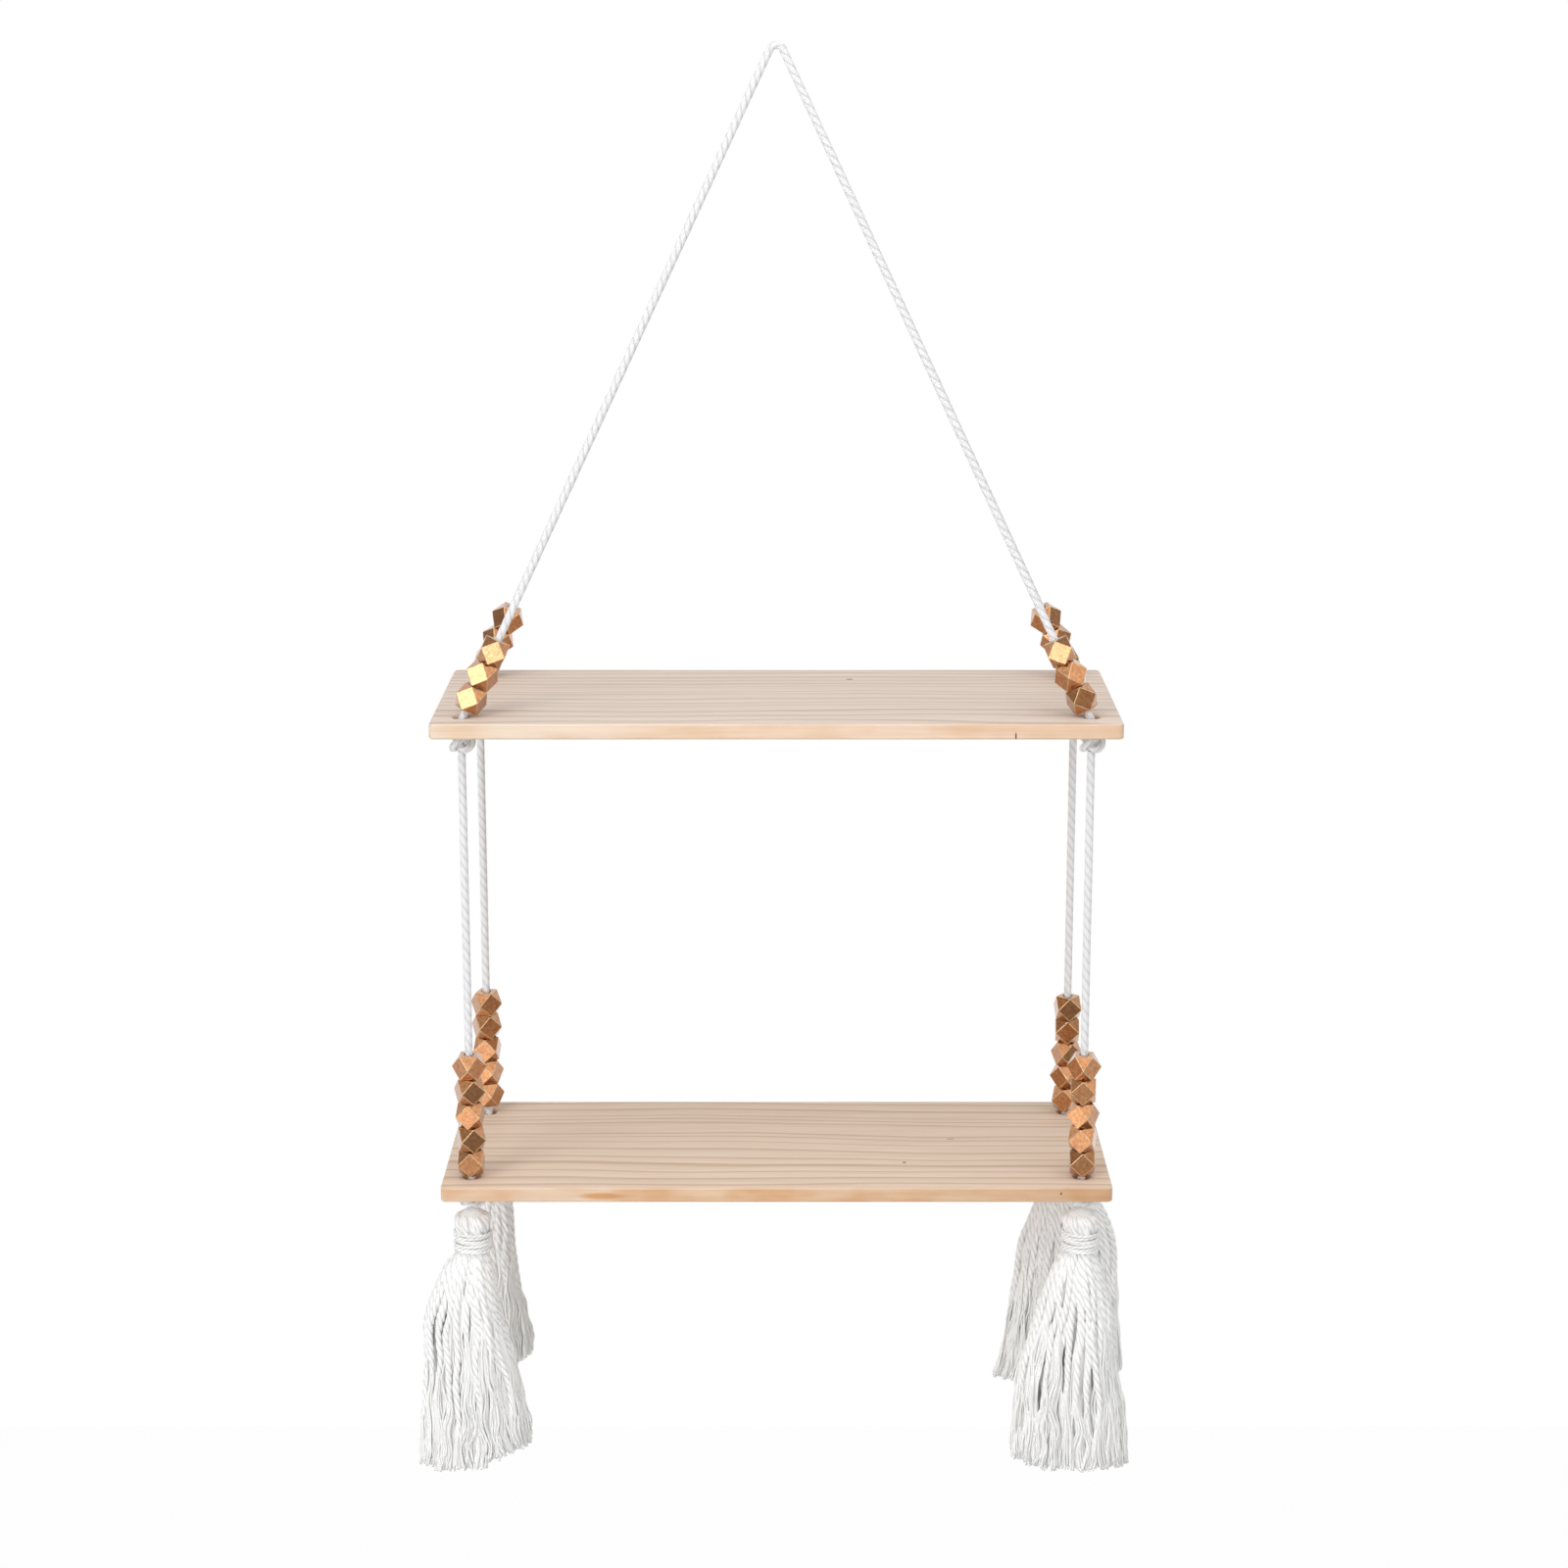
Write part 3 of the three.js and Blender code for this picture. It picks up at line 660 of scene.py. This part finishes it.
def bead_mesh(name, centre, direction, turn):
    """A bored cuboctahedron: two square end faces whose corners lie on the x and y
    axes, four points of the waist between them, each end face opened by the bore's
    ring, turned round its bore and then tipped to lie along the cord."""
    waist_out = bead_half * math.sqrt(2.0)
    quarter = np.arange(4) * 0.5 * math.pi
    eighth = quarter + 0.25 * math.pi
    end = np.stack((bead_half * np.cos(quarter), bead_half * np.sin(quarter)), axis=1)
    waist = np.stack((waist_out * np.cos(eighth), waist_out * np.sin(eighth)), axis=1)
    bore_points = 32
    fine = np.arange(bore_points) * 2.0 * math.pi / bore_points
    ring = np.stack((bead_bore * np.cos(fine), bead_bore * np.sin(fine)), axis=1)
    lift, bore_lift = np.full((4, 1), bead_half), np.full((bore_points, 1), bead_half)
    points = np.concatenate((
        np.hstack((end, lift)), np.hstack((end, -lift)), np.hstack((waist, 0.0 * lift)),
        np.hstack((ring, bore_lift)), np.hstack((ring, -bore_lift)),
    ))
    # Points 0 to 3 are the upper end, 4 to 7 the lower one, 8 to 11 the waist
    faces = []
    upper, lower, per_side = 12, 12 + bore_points, bore_points // 4
    for k in range(4):
        j = (k + 1) % 4
        arc = [(per_side * k + s) % bore_points for s in range(per_side + 1)]
        faces.append([k, j] + [upper + a for a in arc[::-1]])
        faces.append([4 + j, 4 + k] + [lower + a for a in arc])
        faces.append([k, 8 + k, j])
        faces.append([4 + k, 4 + j, 8 + k])
        faces.append([8 + (k + 3) % 4, 4 + k, 8 + k, k])
    for s in range(bore_points):
        after = (s + 1) % bore_points
        faces.append([upper + s, upper + after, lower + after, lower + s])
    turned = turn * 0.5 * math.pi
    spin = np.array([
        [math.cos(turned), -math.sin(turned), 0.0],
        [math.sin(turned), math.cos(turned), 0.0],
        [0.0, 0.0, 1.0],
    ])
    axis = np.array([-direction[1], direction[0], 0.0])
    cross = np.array([[0.0, 0.0, axis[1]], [0.0, 0.0, -axis[0]], [-axis[1], axis[0], 0.0]])
    tip = np.eye(3) + cross + cross @ cross / (1.0 + direction[2])
    placed = points @ (tip @ spin).T + centre
    mesh = bpy.data.meshes.new(name)
    mesh.from_pydata((placed * mm).tolist(), [], faces)
    mesh.update()
    mesh.shade_smooth()
    return mesh


def thread_bead(name, centre, direction, turn, body, replaced):
    """Makes one bead on its cord, with softened edges painted paler, as worn paint and as a painted
    highlight.
    """
    mesh = bead_mesh(name, centre, direction, turn)
    piece = set_piece(name, mesh, copper_faces, body, [replaced])
    mesh.materials.append(copper_worn_edges_and_highlight)
    soften = piece.modifiers.new("softened_edges", "BEVEL")
    soften.width = edge_round * mm
    soften.segments = 3
    soften.limit_method = "ANGLE"
    soften.angle_limit = math.radians(25.0)
    soften.harden_normals = True
    # The softened edges take the paler copper, worn paint with a painted highlight.
    soften.material = 1


for corner, (x, y) in CORNERS.items():
    lean = upper_cord_lean * np.array([x, y, 1.0])
    lowest = upper_lowest_face * np.array([x, y, 1.0])
    for number, turn in enumerate(upper_turns[corner]):
        centre = lowest + lean * (bead_half + bead_pitch * number)
        node = "upper_bead_" + corner + "_" + str(number + 1)
        thread_bead(node + "_painted", centre, lean, turn, "upper_beads_" + corner, node)
    for number, turn in enumerate(lower_turns[corner]):
        level = lower_lowest_faces[corner] + bead_half + bead_pitch * number
        centre = np.array([x * hole_x, y * hole_y, level])
        node = "lower_bead_" + corner + "_" + str(number + 1)
        upright = np.array([0.0, 0.0, 1.0])
        thread_bead(node + "_painted", centre, upright, turn, "lower_beads_" + corner, node)

# The tassels: lengths of the same laid cotton folded over the cord's end, bound at
# the neck, and teased out below into loose yarns with a ragged end. Each has its own
# hang: the skirt leans, and some of its strands are cut shorter on one side.
tassel_top = -678.651
neck_top = tassel_top - 14.2
neck_bottom = neck_top - 16.0
skirt_end = tassel_top - 159.0
strand_diameter = 4.4
strand_lay = 18.0
strand_count = 56
outer_share = 0.7
crowding = 0.27
yarn_diameter = 1.15
yarn_stray = 1.6
wall_side = 75.0
route_rows = 289
end_place = route_rows - 1.0
neck_place = 8.0 / 18.0 * end_place
binding_turns = 7.4
binding_pitch = 1.72
binding_diameter = 1.8
binding_radius = 10.7
binding_lay = 6.5
first_seed = 40

# How far out each skirt reaches at the skirt_places on its way down, and how much
# higher its strands end at the end_places from its left side to its right
skirt_places = (0.0, 0.12, 0.3, 0.6, 0.85, 1.0)
end_places = (-1.0, -0.5, 0.2, 0.55, 1.0)
TASSEL_SHAPES = {
    "front_left": {"left": (12, 23, 33, 35, 38, 39), "right": (10, 14, 17, 26, 34, 37),
                   "depth": (9, 15, 19, 23, 25, 25), "ends": (-6, -7, -3, 4, 5)},
    "front_right": {"left": (12, 20, 28, 40, 42, 43), "right": (11, 16, 23, 28, 33, 35),
                    "depth": (9, 15, 19, 23, 25, 25), "ends": (-4, -6, -4, -5, -6)},
    "rear_left": {"left": (10, 16, 20, 25, 28, 29), "right": (11, 15, 16, 20, 27, 27),
                  "depth": (9, 12, 14, 17, 19, 19), "ends": (2, 2, 5, 8, 13)},
    "rear_right": {"left": (13, 20, 29, 35, 41, 46), "right": (14, 26, 36, 38, 40, 42),
                   "depth": (9, 13, 16, 18, 19, 19), "ends": (-4, 0, 0, 0, 2)},
}

# The strands' ply grooves are painted grey as painted shade.
tassel_cotton = spun_cotton(
    "cotton_laid_strand", yarns_round=24, fibre_size=0.5, white=("#F8F7F6", "#FEFEFD"),
    groove_shade="#E4E4E6", passing=0.0,
)
yarn_cotton = spun_cotton(
    "cotton_loose_yarn", yarns_round=3, fibre_size=0.4, white=("#F6F5F3", "#FEFEFD"),
    groove_shade="#FFFFFF", passing=0.0,
)


def at_places(routes, lines, places):
    """Points on some of the routes at fractional row numbers, between two rows."""
    lines = lines[:, None]
    low = np.clip(places.astype(int), 0, routes.shape[1] - 2)
    part = (places - low)[..., None]
    return routes[lines, low] * (1.0 - part) + routes[lines, low + 1] * part


def tassel_strands(shape, middle, chance):
    """The strands' middle lines, spread over the tassel's round as seeds on a
    sunflower, and the outer ones evenly, each eleven places on: folded over at the
    top, drawn together at the neck, and let out below to the left, right and depth
    that the shape lists. In the skirt a power of their share of the radius crowds
    them towards the outside, and they stray along it more than in and out. Gives the
    lines, each one's share of the radius, and its angle round the tassel."""
    number = np.arange(strand_count)
    share = np.sqrt((number + 0.5) / strand_count)
    outer = share > outer_share
    places_on, stray_inwards = 11.0, 0.35
    seed_turn = math.pi * (3.0 - math.sqrt(5.0))
    even_turn = 2.0 * math.pi * places_on / np.count_nonzero(outer)
    angle = number * np.where(outer, even_turn, seed_turn) + chance.uniform(0.0, 2.0 * math.pi)
    out = np.stack((np.cos(angle), np.sin(angle)), axis=1)
    along_round = np.stack((-out[:, 1], out[:, 0]), axis=1)[:, None, :]

    # The folded head and the neck: how far out and down, and the slope to the side
    head_out = np.array([2.8, 5.6, 8.4, 9.9, 10.0, 9.2, 8.1, 7.9, 8.4])
    head_down = np.array([4.8, 3.5, 3.6, 5.8, 9.2, 13.4, 18.0, 26.5, 30.5])
    head_slope = np.array([0.5, 0.5, 0.5, 0.36, 0.2, 0.08, 0.0, 0.0, 0.0])
    head = (share[:, None] * head_out)[..., None] * out[:, None, :]

    # The skirt under the neck, by shares of the way down
    down = np.array([0.08, 0.16, 0.26, 0.36, 0.47, 0.58, 0.69, 0.8, 0.9, 1.0])
    left, right, deep = (
        np.interp(down, skirt_places, shape[side]) - strand_diameter / 2.0 - yarn_stray * down
        for side in ("left", "right", "depth")
    )
    reach = np.where(out[:, :1] < 0.0, left, right)
    skirt_out = np.stack((reach, np.broadcast_to(deep, reach.shape)), axis=2)
    crowded = share ** crowding
    stray = chance.normal(0.0, 1.0, (2, strand_count, len(down), 1))
    aside, inwards = stray * (0.5 + 1.1 * down)[:, None]
    drift = aside * along_round + stray_inwards * inwards * out[:, None, :]
    skirt = crowded[:, None, None] * skirt_out * out[:, None, :] + drift
    ends = skirt_end + chance.uniform(-1.0, 2.0, strand_count)
    ends += np.interp(crowded * out[:, 0], end_places, shape["ends"])

    levels = np.concatenate((
        tassel_top - head_down - head_slope * share[:, None] * head_out,
        neck_bottom + (ends[:, None] - neck_bottom) * down,
    ), axis=1)
    plan = np.concatenate((head, skirt), axis=1)
    stations = np.concatenate((plan, levels[..., None]), axis=2)
    return curve_through(stations + middle, route_rows), share, angle


def keep_off_wall(routes, room):
    """The same routes held in front of the wall that the shelf hangs on."""
    routes[..., 1] = np.minimum(routes[..., 1], wall_side - room)
    return routes


def laid_lengths(strands, angle, undone, chance):
    """Skins of the strands' laid lengths, from the head to where each has come undone:
    squeezed by about a fifth under the binding, and thinned by a power of what is left
    over the last sixth of the way."""
    rows, wall_room = 104, 2.3
    thin_over, thinnest, thin_power = 0.16, 0.1, 0.6
    squeeze, squeeze_place, squeeze_rows = 0.22, neck_place * 0.86, 22.0
    step = np.linspace(0.0, 1.0, rows)
    places = step[None, :] * (neck_place + undone[:, None] * (end_place - neck_place))
    laid = keep_off_wall(at_places(strands, np.arange(strand_count), places), wall_room)
    thinned = np.clip((1.0 - step) / thin_over, thinnest, 1.0) ** thin_power
    from_binding = np.clip(np.abs(places - squeeze_place) / squeeze_rows, 0.0, 1.0)
    squeezed = 1.0 - squeeze + squeeze * from_binding
    return laid_surface(
        laid, strand_diameter * thinned * squeezed,
        strand_lay * chance.uniform(0.85, 1.15, (strand_count, 1)), around=12, ring=0.21,
        side=np.stack((-np.sin(angle), np.cos(angle), 0.0 * angle), axis=1)[:, None, :],
    )


def loose_yarns(strands, strand, angle, undone, rows, spread, chance):
    """Skins of loose yarns, one for each entry of strand. They begin on that strand a
    little above the place where it has come undone and end near its end. They part
    from its middle line, aside by up to 1 mm and the spread and inwards by up to 2 mm,
    each with its own slow wave and the crimp of the lay that it has come out of."""
    total, wall_room = len(strand), 0.6
    first_start, end_spread, loose_over = 0.04, 0.05, 0.3
    wave_aside, wave_aside_run = 0.9, 14.0
    wave_inwards, wave_inwards_run = 0.4, 17.0
    start = np.maximum(undone[strand] - chance.uniform(0.02, 0.2, total), first_start)
    end = 1.0 - end_spread * chance.random(total) ** 2
    along = start[:, None] + (end - start)[:, None] * np.linspace(0.0, 1.0, rows)
    routes = at_places(strands, strand, neck_place + along * (end_place - neck_place))
    parted = along - start[:, None]
    loose = np.clip(parted / loose_over, 0.0, 1.0)
    run = parted * (neck_bottom - skirt_end)
    across = chance.uniform(-1.0, 1.0, total)[:, None] * (1.0 + spread * loose)
    inwards = chance.uniform(-1.0, 1.0, total)[:, None] * (1.0 + loose)
    drift = chance.normal(0.0, 1.0, (2, total, 1))
    wave = chance.uniform(0.0, 2.0 * math.pi, (2, total, 1))
    crimp = chance.uniform(0.15, 0.5, total)[:, None] * loose
    ply = chance.integers(0, 3, total)[:, None] * 2.0 * math.pi / 3.0 + strand[:, None]
    lay_turn = -2.0 * math.pi * run / strand_lay + ply
    across += loose * wave_aside * drift[0] * np.sin(run / wave_aside_run + wave[0])
    across += crimp * np.cos(lay_turn)
    inwards += loose * wave_inwards * drift[1] * np.sin(run / wave_inwards_run + wave[1])
    inwards += crimp * np.sin(lay_turn)
    faced = angle[strand][:, None]
    routes[..., 0] += inwards * np.cos(faced) - across * np.sin(faced)
    routes[..., 1] += inwards * np.sin(faced) + across * np.cos(faced)
    return laid_surface(
        keep_off_wall(routes, wall_room), np.full((total, rows), yarn_diameter), strand_lay,
        around=3, rounds=0.0,
    )


def wound_binding(middle):
    """Skin of the binding: a cord of two plies wound down the neck in a helix. Its
    radius wavers once in two turns, and its height a little under twice in each."""
    turn_points, first_angle, first_down = 90, 1.1, 1.6
    turn = np.linspace(0.0, binding_turns, round(binding_turns * turn_points))
    angle = 2.0 * math.pi * turn + first_angle
    out = binding_radius + 0.25 * np.sin(3.1 * turn)
    level = neck_top - first_down - binding_pitch * turn + 0.35 * np.sin(1.7 * angle)
    route = np.stack((out * np.cos(angle), out * np.sin(angle), level), axis=1) + middle
    return laid_surface(
        route, np.full(len(route), binding_diameter), binding_lay,
        plies=2, around=10, side=(0.0, 0.0, 1.0),
    )


for seed, (corner, (x, y)) in enumerate(CORNERS.items()):
    chance = np.random.default_rng(first_seed + seed)
    body = "bound_tassel_" + corner
    middle = np.array([x * hole_x, y * hole_y, 0.0])
    strands, share, angle = tassel_strands(TASSEL_SHAPES[corner], middle, chance)
    outer = share > outer_share
    undone = np.where(
        outer, chance.uniform(0.5, 1.0, strand_count), chance.uniform(0.25, 0.65, strand_count)
    )
    name = "tassel_" + corner + "_strands"
    set_piece(
        name, skin_mesh(name, *laid_lengths(strands, angle, undone, chance)),
        tassel_cotton, body, ["tassel_" + corner],
    )
    for layer, chosen, each, rows, spread in (
        ("outer", outer, 32, 30, 4.0),
        ("inner", ~outer, 30, 24, 4.2),
    ):
        strand = np.repeat(np.flatnonzero(chosen), each)
        yarns = loose_yarns(strands, strand, angle, undone, rows, spread, chance)
        name = "tassel_" + corner + "_" + layer + "_yarns"
        set_piece(name, skin_mesh(name, *yarns), yarn_cotton, body, [])
    name = "tassel_" + corner + "_binding"
    set_piece(
        name, skin_mesh(name, *wound_binding(middle)),
        tassel_cotton, body, ["tassel_wrap_" + corner],
    )

# The studio: sheets of matt white paper for the floor and the backdrop, and soft
# lamps. The low and the high key light the facets of the lower and upper beads from
# the front left, and the others fill from above, from the right and from the front.
def studio_white(name, camera_share):
    """Matt white paper that the camera and the metal see as plain white."""
    material, output = new_material(name)
    paper = add_node(material, "ShaderNodeBsdfDiffuse", inputs={"Color": linear("#F2F2F2")})
    seen = add_node(material, "ShaderNodeLightPath")
    either = add_node(
        material, "ShaderNodeMath", operation="MAXIMUM",
        links={0: seen.outputs["Is Camera Ray"], 1: seen.outputs["Is Glossy Ray"]},
    )
    any_of = add_node(
        material, "ShaderNodeMath", operation="MAXIMUM",
        links={0: either.outputs[0], 1: seen.outputs["Is Transmission Ray"]},
    )
    share = add_node(
        material, "ShaderNodeMath", operation="MULTIPLY", inputs={1: camera_share},
        links={0: any_of.outputs[0]},
    )
    glow = add_node(material, "ShaderNodeEmission", inputs={"Strength": 1.0})
    mixed = add_node(
        material, "ShaderNodeMixShader",
        links={0: share.outputs[0], 1: paper.outputs[0], 2: glow.outputs[0]},
    )
    material.node_tree.links.new(mixed.outputs[0], output.inputs["Surface"])
    return material


floor_level = -2.1
floor_front = -1.6
paper_side = 9.5
backdrop_place = 2.6
backdrop_top = 5.4


def paper_sheet(name, corners, white):
    """A flat sheet of that paper between four corners, which isn't part of the shelf."""
    mesh = bpy.data.meshes.new(name)
    mesh.from_pydata(corners, [], [(0, 1, 2, 3)])
    mesh.materials.append(white)
    sheet = bpy.data.objects.new(name, mesh)
    bpy.context.scene.collection.objects.link(sheet)


paper_sheet(
    "floor",
    [
        (-paper_side, floor_front, floor_level), (paper_side, floor_front, floor_level),
        (paper_side, backdrop_place, floor_level), (-paper_side, backdrop_place, floor_level),
    ],
    studio_white("pale_floor_paper", camera_share=0.97),
)
paper_sheet(
    "backdrop",
    [
        (-paper_side, backdrop_place, floor_level), (paper_side, backdrop_place, floor_level),
        (paper_side, backdrop_place, backdrop_top), (-paper_side, backdrop_place, backdrop_top),
    ],
    studio_white("pale_backdrop_paper", camera_share=1.0),
)

world = bpy.data.worlds.new("studio")
world.use_nodes = True
bpy.context.scene.world = world
sky = world.node_tree.nodes["Background"]
sky.inputs["Color"].default_value = (1.0, 1.0, 1.0, 1.0)
sky.inputs["Strength"].default_value = 0.34


def soft_lamp(name, place, aim, size, power):
    """A soft lamp of that width and height in metres, turned towards its aim."""
    data = bpy.data.lights.new(name, "AREA")
    data.shape = "RECTANGLE"
    data.size, data.size_y = size
    data.energy = power
    lamp = bpy.data.objects.new(name, data)
    lamp.visible_camera = False
    ahead = unit(np.array(aim) - np.array(place))
    level = math.hypot(ahead[0], ahead[1])
    lamp.location = place
    lamp.rotation_euler = (math.atan2(level, -ahead[2]), 0.0, math.atan2(-ahead[0], ahead[1]))
    bpy.context.scene.collection.objects.link(lamp)


low_aim, middle_aim, high_aim = (0.0, 0.0, -0.6), (0.0, 0.0, -0.5), (0.0, 0.0, -0.4)
soft_lamp("low_key_lamp", (-1.83, -1.97, -1.6), low_aim, size=(2.6, 0.75), power=12.0)
soft_lamp("high_key_lamp", (-1.76, -2.1, 0.47), middle_aim, size=(1.4, 1.0), power=23.0)
soft_lamp("overhead_lamp", (-0.2, -0.3, 1.8), middle_aim, size=(1.8, 1.8), power=8.5)
soft_lamp("top_lamp", (-0.3, -1.45, 1.5), middle_aim, size=(3.0, 2.2), power=23.0)
soft_lamp("fill_lamp", (2.3, -1.2, 1.0), middle_aim, size=(3.0, 2.4), power=25.0)
soft_lamp("front_lamp", (0.06, -2.6, -0.36), high_aim, size=(0.8, 0.7), power=8.0)
soft_lamp("low_front_lamp", (-0.2, -2.6, -1.6), low_aim, size=(1.1, 0.6), power=1.2)

bpy.context.scene.view_settings.view_transform = "Standard"

# Light passes from yarn to yarn many times in white cotton
bpy.context.scene.cycles.diffuse_bounces = 12
